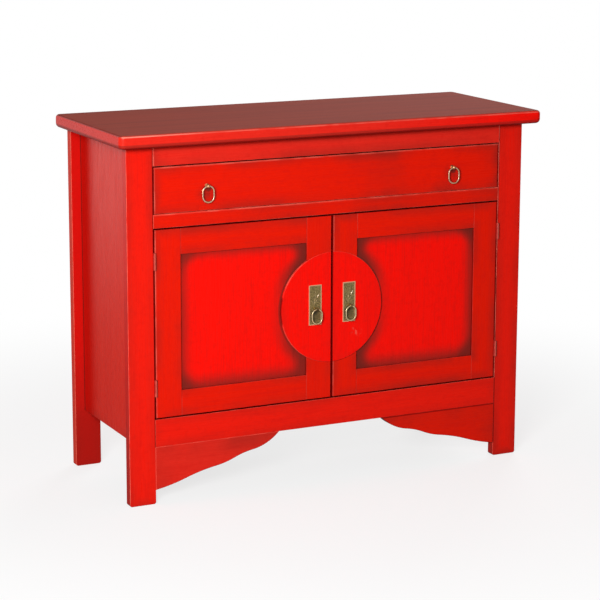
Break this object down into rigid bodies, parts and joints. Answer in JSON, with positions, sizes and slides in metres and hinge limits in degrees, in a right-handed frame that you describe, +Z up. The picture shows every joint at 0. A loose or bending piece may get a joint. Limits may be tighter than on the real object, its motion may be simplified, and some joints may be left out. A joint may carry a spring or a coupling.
{
  "type": "sideboard",
  "caption": "Low red lacquered sideboard in east asian style: a wide drawer over panelled doors whose half-moons make a disc, brass ring pulls, plank legs and wavy apron brackets.",
  "frame": {"origin": "on the floor, below the middle of the top panel", "axes": "+X to the right along the length as seen from the front, +Y from the front to the back, +Z up"},
  "size_m": [1, 0.395, 0.794],
  "materials": {
    "red_lacquer": "satin red lacquer with darker burnished edges",
    "top_lacquer": "satin brown red lacquer",
    "inner_wood": "stained, unpolished",
    "aged_brass": "aged brass, rubbed bright on the edges",
    "hinge_steel": "plain steel, overpainted where it shows",
    "catch_plastic": "brown moulded plastic"
  },
  "bodies": {
    "carcass": {"back_bottom_rail": "inner_wood", "back_left_leg": "red_lacquer", "back_panel": "inner_wood", "back_right_leg": "red_lacquer", "back_top_rail": "inner_wood", "bottom_rail": "red_lacquer", "cabinet_floor": "inner_wood", "door_catches": "catch_plastic", "drawer_guides": "inner_wood", "drawer_kickers": "inner_wood", "drawer_rail": "red_lacquer", "drawer_runners": "inner_wood", "floor_cleats": "inner_wood", "front_left_leg": "red_lacquer", "front_right_leg": "red_lacquer", "hinge_pins": "hinge_steel", "inner_shelf": "inner_wood", "left_apron_bracket": "red_lacquer", "left_side_panel": "red_lacquer", "leg_hinge_leaves": "hinge_steel", "right_apron_bracket": "red_lacquer", "right_side_panel": "red_lacquer", "shelf_cleats": "inner_wood", "top_cleats": "inner_wood", "top_front_rail": "red_lacquer", "top_panel": "top_lacquer"},
    "drawer": {"drawer_back": "inner_wood", "drawer_bottom": "inner_wood", "drawer_front": "red_lacquer", "drawer_left_side": "inner_wood", "drawer_post_nuts": "hinge_steel", "drawer_right_side": "inner_wood", "drawer_ring_posts": "aged_brass"},
    "left_door": {"left_door_bottom_rail": "red_lacquer", "left_door_catch_strike": "hinge_steel", "left_door_half_moon": "red_lacquer", "left_door_hinge_leaves": "hinge_steel", "left_door_hinge_stile": "red_lacquer", "left_door_meeting_stile": "red_lacquer", "left_door_panel": "red_lacquer", "left_door_plate": "aged_brass", "left_door_post_nut": "hinge_steel", "left_door_ring_post": "aged_brass", "left_door_top_rail": "red_lacquer"},
    "right_door": {"right_door_bottom_rail": "red_lacquer", "right_door_catch_strike": "hinge_steel", "right_door_half_moon": "red_lacquer", "right_door_hinge_leaves": "hinge_steel", "right_door_hinge_stile": "red_lacquer", "right_door_meeting_stile": "red_lacquer", "right_door_panel": "red_lacquer", "right_door_plate": "aged_brass", "right_door_post_nut": "hinge_steel", "right_door_ring_post": "aged_brass", "right_door_top_rail": "red_lacquer"},
    "left_drawer_pull": {"left_drawer_ring": "aged_brass"},
    "right_drawer_pull": {"right_drawer_ring": "aged_brass"},
    "left_door_pull": {"left_door_ring": "aged_brass"},
    "right_door_pull": {"right_door_ring": "aged_brass"}
  },
  "joints": [
    {"name": "drawer_slide", "type": "slide", "parent": "carcass", "child": "drawer", "axis": [0, -1, 0], "range_m": [0, 0.22]},
    {"name": "left_door_hinge", "type": "hinge", "parent": "carcass", "child": "left_door", "pos_m": [-0.4132, -0.1618, 0.388], "axis": [0, 0, -1], "range_deg": [0, 170]},
    {"name": "right_door_hinge", "type": "hinge", "parent": "carcass", "child": "right_door", "pos_m": [0.4132, -0.1618, 0.388], "axis": [0, 0, 1], "range_deg": [0, 170]},
    {"name": "left_drawer_ring_swing", "type": "hinge", "parent": "drawer", "child": "left_drawer_pull", "pos_m": [-0.294, -0.1675, 0.67475], "axis": [-1, 0, 0], "range_deg": [-8, 170]},
    {"name": "right_drawer_ring_swing", "type": "hinge", "parent": "drawer", "child": "right_drawer_pull", "pos_m": [0.294, -0.1675, 0.67475], "axis": [-1, 0, 0], "range_deg": [-8, 170]},
    {"name": "left_door_ring_swing", "type": "hinge", "parent": "left_door", "child": "left_door_pull", "pos_m": [-0.041, -0.1687, 0.388], "axis": [-1, 0, 0], "range_deg": [-8, 170]},
    {"name": "right_door_ring_swing", "type": "hinge", "parent": "right_door", "child": "right_door_pull", "pos_m": [0.041, -0.1687, 0.388], "axis": [-1, 0, 0], "range_deg": [-8, 170]}
  ]
}
